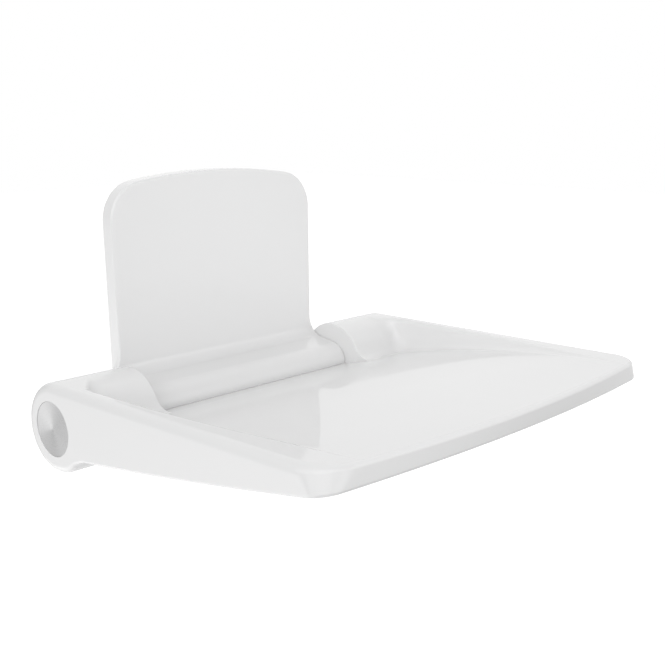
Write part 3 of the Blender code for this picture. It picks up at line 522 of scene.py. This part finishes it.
coverForm = {
    "half": 93.9 * mm,
    "knuckleHalf": coverHigh.x,
    "thickness": 11.3 * mm,
    "top": coverHigh.z - coverTopDrop,
    "archRadius": 480 * mm,
    "cornerRadius": 28 * mm,
    "bottom": 33 * mm,
    "bottomCorner": 8 * mm,
    "edgeRounding": 1.7 * mm,
    "knuckleRadius": 15.5 * mm,
    "knuckleEndRounding": 0.7 * mm,
    "shelfSlope": math.radians(10),
    "coveRadius": 9 * mm,
    "flareTop": 34 * mm,
    "flareBottom": 17 * mm,
    "flareFront": 8 * mm,                # the plate stays straight behind this
    "flareSteps": (3 * mm, 0.5 * mm),    # below the knuckle, at the plate and at the knuckle's end
    "plainBelow": 40 * mm,               # from the top down, where only the outer edges are rounded
    "wall": 3 * mm,
    "back": -coverHigh.y,
    "tubeRoom": 12.3 * mm,
    "slotStep": 0.6 * mm,                # the slot behind the tube is this much lower, above and below
    "windowHalf": 25.3 * mm,
    "windowMiddle": 50 * mm,
    "windowLow": -27.8 * mm,
    "windowHigh": -17.2 * mm,
    "windowDeeper": 0.3 * mm,            # the windows' cut goes this far past the wall's inner face
}


def shelfHeight(y):
    slope, radius = coverForm["shelfSlope"], coverForm["knuckleRadius"]
    return radius * math.cos(slope) + (y + radius * math.sin(slope)) * math.tan(slope)


def coverProfile():
    form = coverForm
    face = -hingePoint.y - form["thickness"]
    back = -hingePoint.y - form["back"]
    slope, cove, radius = form["shelfSlope"], form["coveRadius"], form["knuckleRadius"]
    rise = cove * math.tan(math.pi / 4 - slope / 2)
    centre = (face - cove, shelfHeight(face) + rise)
    curve = arcPoints(centre, cove, 0, slope - math.pi / 2, 20)
    nose = arcPoints((0, 0), radius, math.pi / 2 + slope, 1.5 * math.pi, 40)
    top, low = form["top"] + farOut, -(form["bottom"] + farOut)
    return [(face, top)] + curve + nose + [(face, -radius), (face, low), (back, low), (back, top)]


def plateOutline(inset=0, flared=False):
    form = coverForm
    half, radius, arch = form["half"] - inset, form["cornerRadius"] - inset, form["archRadius"] - inset
    archCentre = (0, form["top"] - form["archRadius"])
    cornerX = half - radius
    cornerZ = archCentre[1] + math.sqrt((arch - radius) ** 2 - cornerX ** 2)
    lean = angleFrom(archCentre, (cornerX, cornerZ))
    corner = arcPoints((cornerX, cornerZ), radius, 0, lean, 28)
    top = arcPoints(archCentre, arch, lean, math.pi - lean, 60)
    low = -(form["bottom"] - inset)
    foot = form["bottomCorner"] - min(inset, form["bottomCorner"] / 2)
    footArc = arcPoints((half - foot, low + foot), foot, 1.5 * math.pi, math.tau, 10)
    flare = []
    if flared:
        under = -form["knuckleRadius"]
        atPlate, atEnd = form["flareSteps"]
        flare = [(half, under - atPlate), (form["knuckleHalf"], under - atEnd)]
        for share in stations(0, 1, 14):
            ease = 0.5 + 0.5 * math.cos(math.pi * share)
            z = form["flareBottom"] + (form["flareTop"] - form["flareBottom"]) * share
            flare.append((half + (form["knuckleHalf"] - half) * ease, z))
    right = footArc + flare + corner
    return right + top[1:-1] + [(-x, z) for x, z in reversed(right)]


def coverRounding(middle):
    # the front edges all round, less at the knuckle's ends; the rear edges stay sharp against the wall
    form = coverForm
    if middle.y > -hingePoint.y - form["back"] - nearBy:
        return 0
    if abs(middle.x) < form["half"] - form["cornerRadius"] and middle.z < form["top"] - form["plainBelow"]:
        return 0
    if middle.z > form["flareTop"]:
        return form["edgeRounding"]
    share = min(1, (form["flareTop"] - middle.z) / (form["flareTop"] - form["flareBottom"]))
    return form["edgeRounding"] + (form["knuckleEndRounding"] - form["edgeRounding"]) * share


def boxTool(name, low, high):
    deselectAll()
    bpy.ops.mesh.primitive_cube_add(size=1)
    tool = bpy.context.active_object
    tool.name = name
    size, middle = Vector(high) - Vector(low), (Vector(high) + Vector(low)) / 2
    tool.data.transform(Matrix.Translation(middle) @ Matrix.Diagonal((*size, 1)))
    return tool


def makeWallCover(material):
    form = coverForm
    pastEnds = 1.2 * form["knuckleHalf"]
    cover = outlineSolid("wallCover", coverProfile(), -pastEnds, pastEnds)
    combine(cover, outlineSolid("outlineTool", plateOutline(flared=True), -farOut, farOut, "Y"), "INTERSECT")
    mergeClose(cover)
    roundEdges(cover, 6, coverRounding)
    moveMesh(cover, hingePoint)
    front = -form["thickness"]
    for side in sides.values():
        near, far = sorted((side * form["half"], side * farOut * 2))
        low, high = (near, -form["flareFront"], -farOut), (far, farOut, 2 * form["flareTop"])
        combine(cover, boxTool("flareTool", low, high))
    combine(cover, outlineSolid("hollowTool", plateOutline(form["wall"]), front + form["wall"], farOut, "Y"))
    combine(cover, moveMesh(throughHole("tubeTool", form["tubeRoom"]), hingePoint))
    inner = form["knuckleHalf"] - form["wall"]
    slot = form["tubeRoom"] - form["slotStep"]
    combine(cover, boxTool("slotTool", (-inner, hingePoint.y, -slot), (inner, farOut, slot)))
    ahead = front - 4 * mm
    behind = front + form["wall"] + form["windowDeeper"]
    for side in sides.values():
        middle = side * form["windowMiddle"]
        low = (middle - form["windowHalf"], ahead, form["windowLow"])
        high = (middle + form["windowHalf"], behind, form["windowHigh"])
        combine(cover, boxTool("windowTool", low, high))
        low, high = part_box("cover_screw_left" if side < 0 else "cover_screw_right")
        middle = (low + high) / 2
        combine(cover, screwHoleTool("cover", (middle.x, middle.y, low.z)))
    mergeClose(cover)
    smoothFinish(cover)
    settle(cover, "wall_unit", "white_plastic", material, "wall_cover")
    print("wall cover:", len(cover.data.polygons), "faces")


# Screw holes: heights are from the outer face of the screw's head

screwHoles = {
    "cover": {"below": 4 * mm, "head": 3.3 * mm, "seat": 1.6 * mm, "shank": 1.9 * mm, "above": 8 * mm},
    "base": {"below": 6 * mm, "head": 3.8 * mm, "seat": 1.6 * mm, "shank": 2.2 * mm, "above": 9 * mm},
}


def screwHoleTool(kind, place):
    # from below: room for the head, then the hole for the shank
    hole = screwHoles[kind]
    low, high, seat = -hole["below"], hole["above"], hole["seat"]
    profile = [(low, 0), (low, hole["head"]), (seat, hole["head"])]
    profile += [(seat, hole["shank"]), (high, hole["shank"]), (high, 0)]
    return moveMesh(turnedSolid("screwHoleTool", profile, 48, "Z"), place)


# Seat base: the panel that closes the shell below

def makeSeatBase(material):
    form = seatForm
    top = form["baseSetBack"] + form["baseThickness"]
    rear, inset = -(form["baseRear"] + form["fitGap"]), form["baseInset"] + form["fitGap"]
    base = underBand("seatBase", form["baseSetBack"], top, rear, inset)
    mergeClose(base)
    roundEdges(base, 3, lambda middle: form["baseEdge"])
    for number in range(1, 7):
        low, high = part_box(f"base_screw_{number}")
        middle = (low + high) / 2 - hingePoint
        combine(base, screwHoleTool("base", (middle.x, middle.y, low.z)))
    mergeClose(base)
    smoothFinish(base)
    moveMesh(base, hingePoint)
    settle(base, "seat", "white_plastic", material, "seat_base")
    print("seat base:", len(base.data.polygons), "faces")


# End caps: turned discs in the barrel ends

capForm = {
    "edge": 0.2 * mm,
    "centreRing": 2 * mm,                # one row of vertices on the face
    "thickness": 2 * mm,
    "skirtRadius": 15.7 * mm,
    "skirtWall": 1.2 * mm,
    "skirtLength": 7.6 * mm,
}


def makeEndCap(word, side, material):
    form = capForm
    face = capHigh.x
    radius = (capHigh.z - capLow.z) / 2
    back = face - form["thickness"]
    inside = form["skirtRadius"] - form["skirtWall"]
    edge = arcPoints((face - form["edge"], radius - form["edge"]), form["edge"], math.pi / 2, 0, 6)
    end = back - form["skirtLength"]
    profile = [(face, 0), (face, form["centreRing"])] + edge[::-1]
    profile += [(back, radius), (back, form["skirtRadius"]), (end, form["skirtRadius"])]
    profile += [(end, inside), (back, inside), (back, 0)]
    cap = turnedSolid(f"endCap_{word}", profile, 160, flip=side)
    smoothFinish(cap, angle=25)
    moveMesh(cap, hingePoint)
    mapTurning(cap, hingePoint)
    settle(cap, "seat", "turned_steel", material, f"end_cap_{word}")


# Screws: pan heads with a hexagon socket, seen in the base and below the cover

screwForm = {
    "base": {"head": 3.5 * mm, "shank": 1.9 * mm, "headHeight": 1.3 * mm},
    "cover": {"head": 3 * mm, "shank": 1.6 * mm, "headHeight": 1.3 * mm},
    "edge": 0.45 * mm,
    "tip": 0.9 * mm,
    "tipRadius": 0.55,                   # of the shank's radius, where the tip ends
    "socket": 0.5,                       # of the head's radius, across the corners
    "socketDepth": 0.9 * mm,
    "threadPitch": 1.1 * mm,
    "threadDepth": 0.18 * mm,
    "plainTurns": 0.5,                   # at least this much of a turn stays plain below the head
}


def makeScrew(node, kind, body, material):
    form = screwForm
    head, shank, height = (form[kind][key] for key in ("head", "shank", "headHeight"))
    low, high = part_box(node)
    length, edge = high.z - low.z, form["edge"]
    profile = [(0, 0)] + arcPoints((edge, head - edge), edge, math.pi, math.pi / 2, 6)
    profile += [(height, head), (height, shank)]
    turns = int((length - height - form["tip"]) / form["threadPitch"] - form["plainTurns"])
    valley = shank - form["threadDepth"]
    for turn in range(turns):            # ridges, one per turn of the thread
        start = length - form["tip"] - (turns - turn) * form["threadPitch"]
        profile += [(start, valley), (start + 0.5 * form["threadPitch"], shank)]
    profile += [(length - form["tip"], valley), (length, form["tipRadius"] * shank), (length, 0)]
    screw = turnedSolid(f"screw_{node}", profile, 48, "Z")
    deselectAll()
    radius, depth = form["socket"] * head, 2 * form["socketDepth"]
    bpy.ops.mesh.primitive_cylinder_add(vertices=6, radius=radius, depth=depth)
    combine(screw, bpy.context.active_object)
    smoothFinish(screw, angle=28)
    moveMesh(screw, ((low.x + high.x) / 2, (low.y + high.y) / 2, low.z))
    settle(screw, body, "stainless_steel", material, node)


# Inner pieces: copies of the frame's solids with their edges broken

edgeBreaks = {
    "wall_bracket": 0.6 * mm,
    "hinge_axle": 0.4 * mm,
    "axle_nut": 0.5 * mm,
    "axle_washer": 0.25 * mm,
    "thrust_washer": 0.2 * mm,
    "hinge_bush": 0.25 * mm,
}
flatWithin = math.radians(0.5)           # faces that turn less than this are joined first
sharpOver = math.radians(40)             # edges that turn more than this are broken
copyWeld = 0.01 * mm


def breakEdges(node, width, body, slot, material):
    piece = nodes[node].copy()
    piece.data = nodes[node].data.copy()
    scene.collection.objects.link(piece)
    piece.name = piece.data.name = f"finished_{node}"
    mergeClose(piece, copyWeld)
    editAll(piece)
    bpy.ops.mesh.dissolve_limited(angle_limit=flatWithin)
    closeEdit(piece)
    applyModifier(piece, "BEVEL", limit_method="ANGLE", angle_limit=sharpOver, width=width, segments=3)
    smoothFinish(piece, angle=35)
    settle(piece, body, slot, material, node)


# Materials

def newMaterial(name, colour, roughness, metallic=0):
    # plain values first; what is linked to the shader afterwards varies them
    material = bpy.data.materials.new(name)
    material.use_nodes = True
    tree = material.node_tree
    shader = tree.nodes["Principled BSDF"]
    shader.inputs["Base Color"].default_value = (*colour, 1)
    shader.inputs["Roughness"].default_value = roughness
    shader.inputs["Metallic"].default_value = metallic
    return material, tree, shader


def addNode(tree, kind, inputs=(), **settings):
    # an input is either another node's output or a plain value
    node = tree.nodes.new(kind)
    for key, value in settings.items():
        setattr(node, key, value)
    for key, value in dict(inputs).items():
        if isinstance(value, bpy.types.NodeSocket):
            tree.links.new(value, node.inputs[key])
        else:
            node.inputs[key].default_value = value
    return node


def noiseOn(tree, scale, detail=2, stretch=(1, 1, 1)):
    place = addNode(tree, "ShaderNodeTexCoord")
    mapped = addNode(tree, "ShaderNodeMapping", {"Vector": place.outputs["Object"], "Scale": stretch})
    settings = {"Vector": mapped.outputs[0], "Scale": scale, "Detail": detail}
    return addNode(tree, "ShaderNodeTexNoise", settings)


def spread(tree, source, low, high, start=0.3, end=0.7):
    return addNode(
        tree, "ShaderNodeMapRange",
        {"Value": source, "From Min": start, "From Max": end, "To Min": low, "To Max": high},
    ).outputs["Result"]


def tint(tree, share, dark, light):
    mix = addNode(tree, "ShaderNodeMix", data_type="RGBA")
    tree.links.new(share, mix.inputs["Factor"])
    mix.inputs["A"].default_value = (*dark, 1)
    mix.inputs["B"].default_value = (*light, 1)
    return mix.outputs["Result"]


def bumpFrom(tree, height, distance):
    node = addNode(tree, "ShaderNodeBump", {"Height": height, "Distance": distance, "Strength": 1})
    return node.outputs["Normal"]


plasticLook = {
    "white": (0.802, 0.802, 0.802),
    "shade": (0.792, 0.792, 0.794),
    "cloudScale": 14,
    "roughness": (0.015, 0.035),
    "flowScale": 60,
    "waviness": 0.006 * mm,
    "waveScale": 220,
}


def glossyWhitePlastic():
    look = plasticLook
    material, tree, shader = newMaterial("glossyWhitePlastic", look["white"], 0.12)
    cloudy = noiseOn(tree, look["cloudScale"], 3)
    flow = noiseOn(tree, look["flowScale"], 2)
    wave = noiseOn(tree, look["waveScale"], 1)
    colour = tint(tree, cloudy.outputs["Fac"], look["shade"], look["white"])
    tree.links.new(colour, shader.inputs["Base Color"])
    tree.links.new(spread(tree, flow.outputs["Fac"], *look["roughness"]), shader.inputs["Roughness"])
    tree.links.new(bumpFrom(tree, wave.outputs["Fac"], look["waviness"]), shader.inputs["Normal"])
    return material


turningLook = {
    "colour": (0.62, 0.62, 0.622),
    "roughness": (0.26, 0.34),
    "anisotropy": 0.9,
    "anisotropyTurn": 0.25,              # of a full turn, so that the gloss spreads across the circles
    "ringPitch": 0.12 * mm,
    "ringDepth": 0.002 * mm,
    "hollow": math.radians(5),           # how far the face leans in towards its middle
}


def turnedSteel():
    # turned in fine circles: the turning map holds the angle and the radius in mm
    look = turningLook
    material, tree, shader = newMaterial("turnedSteel", look["colour"], 0.3, 1)
    shader.inputs["Anisotropic"].default_value = look["anisotropy"]
    shader.inputs["Anisotropic Rotation"].default_value = look["anisotropyTurn"]
    lay = addNode(tree, "ShaderNodeTangent", direction_type="UV_MAP", uv_map="turning")
    tree.links.new(lay.outputs["Tangent"], shader.inputs["Tangent"])
    polar = addNode(tree, "ShaderNodeUVMap", uv_map="turning")
    radius = addNode(tree, "ShaderNodeSeparateXYZ", {"Vector": polar.outputs["UV"]}).outputs["Y"]
    spacing = {"W": radius, "Scale": mm / look["ringPitch"]}
    rings = addNode(tree, "ShaderNodeTexNoise", spacing, noise_dimensions="1D")
    tree.links.new(spread(tree, rings.outputs["Fac"], *look["roughness"]), shader.inputs["Roughness"])
    slope = mm * math.tan(look["hollow"])
    rise = addNode(tree, "ShaderNodeMath", {0: radius, 1: slope}, operation="MULTIPLY").outputs[0]
    heights = {0: rings.outputs["Fac"], 1: look["ringDepth"], 2: rise}
    ridges = addNode(tree, "ShaderNodeMath", heights, operation="MULTIPLY_ADD").outputs[0]
    tree.links.new(bumpFrom(tree, ridges, 1), shader.inputs["Normal"])
    return material


def mapTurning(piece, centre):
    # angle across, radius up; each face takes its angles near its own middle, so none wraps round
    mesh = piece.data
    layer = mesh.uv_layers.new(name="turning")
    for face in mesh.polygons:
        middle = math.atan2(face.center.z - centre.z, face.center.y - centre.y)
        for loop in face.loop_indices:
            place = mesh.vertices[mesh.loops[loop].vertex_index].co - centre
            radius = math.hypot(place.y, place.z)
            angle = math.atan2(place.z, place.y) if radius > 0.01 * mm else middle
            turn = (angle - middle + math.pi) % math.tau - math.pi + middle
            layer.data[loop].uv = (turn / math.tau, radius / mm)


steelLook = {
    "colour": (0.56, 0.56, 0.57),
    "roughness": (0.25, 0.42),
    "grainScale": 400,
    "grainStretch": (1, 8, 8),           # finer across than along x
}


def plainSteel():
    look = steelLook
    material, tree, shader = newMaterial("plainSteel", look["colour"], 0.32, 1)
    grain = noiseOn(tree, look["grainScale"], 2, look["grainStretch"])
    tree.links.new(spread(tree, grain.outputs["Fac"], *look["roughness"]), shader.inputs["Roughness"])
    return material


castLook = {
    "colour": (0.7, 0.71, 0.72),
    "roughness": (0.36, 0.52),
    "grainScale": 900,
    "grainDepth": 0.03 * mm,
}


def castAluminium():
    look = castLook
    material, tree, shader = newMaterial("castAluminium", look["colour"], 0.42, 1)
    grain = noiseOn(tree, look["grainScale"], 3)
    tree.links.new(spread(tree, grain.outputs["Fac"], *look["roughness"]), shader.inputs["Roughness"])
    tree.links.new(bumpFrom(tree, grain.outputs["Fac"], look["grainDepth"]), shader.inputs["Normal"])
    return material


nylonLook = {
    "colour": (0.8, 0.78, 0.72),
    "dark": (0.76, 0.74, 0.68),
    "light": (0.82, 0.8, 0.74),
    "roughness": 0.5,
    "grainScale": 120,
}


def naturalNylon():
    look = nylonLook
    material, tree, shader = newMaterial("naturalNylon", look["colour"], look["roughness"])
    grain = noiseOn(tree, look["grainScale"], 2)
    colour = tint(tree, grain.outputs["Fac"], look["dark"], look["light"])
    tree.links.new(colour, shader.inputs["Base Color"])
    return material


rubberLooks = {
    "blackRubber": {
        "colour": (0.03, 0.03, 0.03),
        "dark": (0.02, 0.02, 0.02),
        "light": (0.05, 0.05, 0.052),
        "roughness": 0.8,
        "grainScale": 700,
        "grainDepth": 0.05 * mm,
    },
    "whiteRubber": {
        "colour": (0.8, 0.8, 0.8),
        "dark": (0.76, 0.76, 0.755),
        "light": (0.82, 0.82, 0.815),
        "roughness": 0.7,
        "grainScale": 500,
        "grainDepth": 0.04 * mm,
    },
}


def rubber(name):
    look = rubberLooks[name]
    material, tree, shader = newMaterial(name, look["colour"], look["roughness"])
    grain = noiseOn(tree, look["grainScale"], 3)
    colour = tint(tree, grain.outputs["Fac"], look["dark"], look["light"])
    tree.links.new(colour, shader.inputs["Base Color"])
    tree.links.new(bumpFrom(tree, grain.outputs["Fac"], look["grainDepth"]), shader.inputs["Normal"])
    return material


finishes = {
    "white_plastic": glossyWhitePlastic(),
    "turned_steel": turnedSteel(),
    "stainless_steel": plainSteel(),
    "bracket_aluminium": castAluminium(),
    "natural_nylon": naturalNylon(),
    "black_rubber": rubber("blackRubber"),
    "white_rubber": rubber("whiteRubber"),
}
print("materials:", len(finishes))


def dressFrame():
    # the frame's own meshes: what still shows of them takes the new finishes too
    for row in frame["record"]["subparts"]:
        piece = nodes[row["node"]]
        piece.data.materials.clear()
        piece.data.materials.append(finishes[row["material_slot"]])


# Room, light and camera

studio = {
    "floorHeight": -450 * mm,
    "floorSize": 14,
    "floorColour": (0.93, 0.93, 0.93),
    "floorRoughness": 0.9,
    "floorGlow": 0.25,
    "sky": 0.81,                         # light from everywhere
    "softboxEdge": (42, 10),             # degrees from the middle where a softbox starts and is full
    "softboxes": [                       # degrees round from straight ahead, degrees up, strength
        (-45, 35, 1.05),                 # key, high on the left
        (20, 0, 0.95),                   # fill, ahead of the plate
        (-135, -35, 0.9),                # low behind the left side
        (180, -60, 0.65),                # from below the wall
        (-90, 30, 0.55),
        (135, 35, 0.35),
        (0, 60, -0.75),                  # flag overhead; a flag takes light away
        (-160, 0, -0.65),                # flag beside the wall, for the cap
        (-45, -35, -0.8),                # flags below, for the seat's front edge
        (45, -35, -0.8),
    ],
    "cardEdge": (13, 7),
    "cards": [                           # small ones, which the turned cap mirrors
        (-165, -30, 0.3),
        (-114, -14, 0.15),
        (-121, -1, -0.6),
        (-103, 4, -0.9),
    ],
}


def makeStudio():
    deselectAll()
    bpy.ops.mesh.primitive_plane_add(size=studio["floorSize"], location=(0, 0, studio["floorHeight"]))
    floor = bpy.context.active_object
    floor.name = "floor"
    material, tree, shader = newMaterial("paleFloor", studio["floorColour"], studio["floorRoughness"])
    shader.inputs["Emission Color"].default_value = (1, 1, 1, 1)
    shader.inputs["Emission Strength"].default_value = studio["floorGlow"]
    floor.data.materials.append(material)
    # only the camera sees it, so that the room lights from below too
    floor.visible_diffuse = floor.visible_glossy = floor.visible_shadow = False

    world = bpy.data.worlds.new("studioWorld")
    scene.world = world
    world.use_nodes = True
    tree = world.node_tree
    tree.nodes.clear()
    direction = addNode(tree, "ShaderNodeTexCoord").outputs["Generated"]
    light = addNode(tree, "ShaderNodeValue").outputs[0]
    light.default_value = studio["sky"]
    for lamps, edge in ((studio["softboxes"], studio["softboxEdge"]), (studio["cards"], studio["cardEdge"])):
        for turn, rise, strength in lamps:
            lamp = skyLamp(tree, direction, math.radians(turn), math.radians(rise), edge, strength)
            light = addNode(tree, "ShaderNodeMath", {0: light, 1: lamp}, operation="ADD").outputs[0]
    light = addNode(tree, "ShaderNodeMath", {0: light, 1: 0.0}, operation="MAXIMUM").outputs[0]
    # the camera itself sees plain white behind the part
    path = addNode(tree, "ShaderNodeLightPath")
    seen = addNode(tree, "ShaderNodeMix", {"Factor": path.outputs["Is Camera Ray"], "A": light, "B": 1.0})
    shown = {"Strength": seen.outputs["Result"], "Color": (1, 1, 1, 1)}
    background = addNode(tree, "ShaderNodeBackground", shown)
    output = addNode(tree, "ShaderNodeOutputWorld")
    tree.links.new(background.outputs[0], output.inputs["Surface"])


def skyLamp(tree, direction, turn, rise, edge, strength):
    # a soft round patch of sky; strength is what it adds in its middle
    towards = Vector((math.sin(turn) * math.cos(rise), -math.cos(turn) * math.cos(rise), math.sin(rise)))
    dot = addNode(tree, "ShaderNodeVectorMath", {0: direction, 1: towards}, operation="DOT_PRODUCT")
    outer, inner = (math.cos(math.radians(angle)) for angle in edge)
    ramp = {"Value": dot.outputs["Value"], "From Min": outer, "From Max": inner}
    ramp.update({"To Min": 0, "To Max": strength})
    return addNode(tree, "ShaderNodeMapRange", ramp, interpolation_type="SMOOTHSTEP").outputs["Result"]


view = {
    "place": (-0.4963, -0.6108, 0.2021),             # metres
    "azimuth": math.radians(-48),
    "elevation": math.radians(14.53),
    "lens": 55.63,
    "sensor": 36,
    "shift": (-0.05805, 0.06215),
    "clip": (0.01, 50),
}


def makeCamera():
    data = bpy.data.cameras.new("photoCamera")
    data.lens = view["lens"]
    data.sensor_width = view["sensor"]
    data.sensor_fit = "HORIZONTAL"
    data.shift_x, data.shift_y = view["shift"]
    data.clip_start, data.clip_end = view["clip"]
    camera = bpy.data.objects.new("photoCamera", data)
    scene.collection.objects.link(camera)
    a, e = view["azimuth"], view["elevation"]
    back = Vector((math.sin(a) * math.cos(e), -math.cos(a) * math.cos(e), math.sin(e)))
    right = Vector((math.cos(a), math.sin(a), 0))
    turn = Matrix((right, back.cross(right), back)).transposed().to_4x4()
    camera.matrix_world = Matrix.Translation(view["place"]) @ turn
    scene.camera = camera


makeSeatShell(finishes["white_plastic"])
makeSeatBase(finishes["white_plastic"])
makeWallCover(finishes["white_plastic"])
for word, side in sides.items():
    makeEndCap(word, side, finishes["turned_steel"])
    makeScrew(f"cover_screw_{word}", "cover", "wall_unit", finishes["stainless_steel"])
print("end caps: 2")
for number in range(1, 7):
    makeScrew(f"base_screw_{number}", "base", "seat", finishes["stainless_steel"])
print("screws: 8")
seatNodes = frame["record"]["behaviour"]["bodies"]["seat"]
for row in frame["record"]["subparts"]:
    node, slot = row["node"], row["material_slot"]
    for name, width in edgeBreaks.items():
        if node.startswith(name):
            body = "seat" if node in seatNodes else "wall_unit"
            breakEdges(node, width, body, slot, finishes[slot])
print("inner pieces finished")
dressFrame()
makeStudio()
makeCamera()
scene.view_settings.view_transform = "Standard"
print("studio and camera set")
